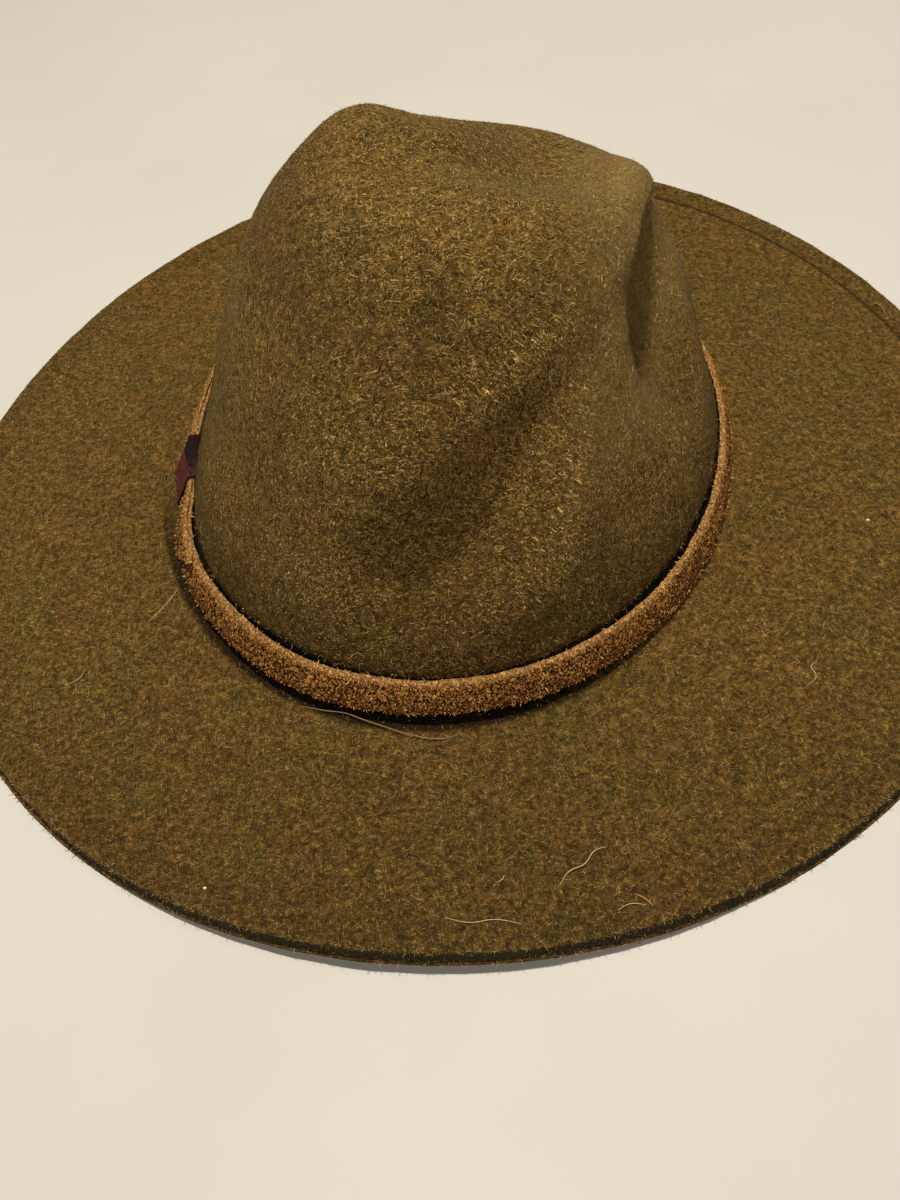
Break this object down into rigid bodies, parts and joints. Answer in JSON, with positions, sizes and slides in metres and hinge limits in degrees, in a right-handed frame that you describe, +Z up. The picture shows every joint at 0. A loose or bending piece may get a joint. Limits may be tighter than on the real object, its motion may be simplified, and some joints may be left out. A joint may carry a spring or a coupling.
{
  "type": "wide-brimmed felt hat",
  "caption": "Worn olive-brown felt hat with a wide flat brim, a dented crown and a narrow rust suede strap held by a leather keeper.",
  "frame": {"origin": "on the surface that the hat lies on, under the middle of its brim", "axes": "+Z up out of the crown, +Y towards the hat's front, +X towards the wearer's right"},
  "size_m": [0.327, 0.329, 0.1116],
  "materials": {
    "wool_felt": "matt, fuzzy, olive-brown mixed wool, worn",
    "rusty_suede": "napped suede, cut edges paler",
    "backing_strip": "smooth dark grey-green tape",
    "burgundy_leather": "smooth, slightly glossy, with dark edges"
  },
  "bodies": {
    "root": {"felt_body": "wool_felt", "suede_band": "rusty_suede", "band_backing": "backing_strip", "strap_keeper": "burgundy_leather"}
  },
  "joints": []
}
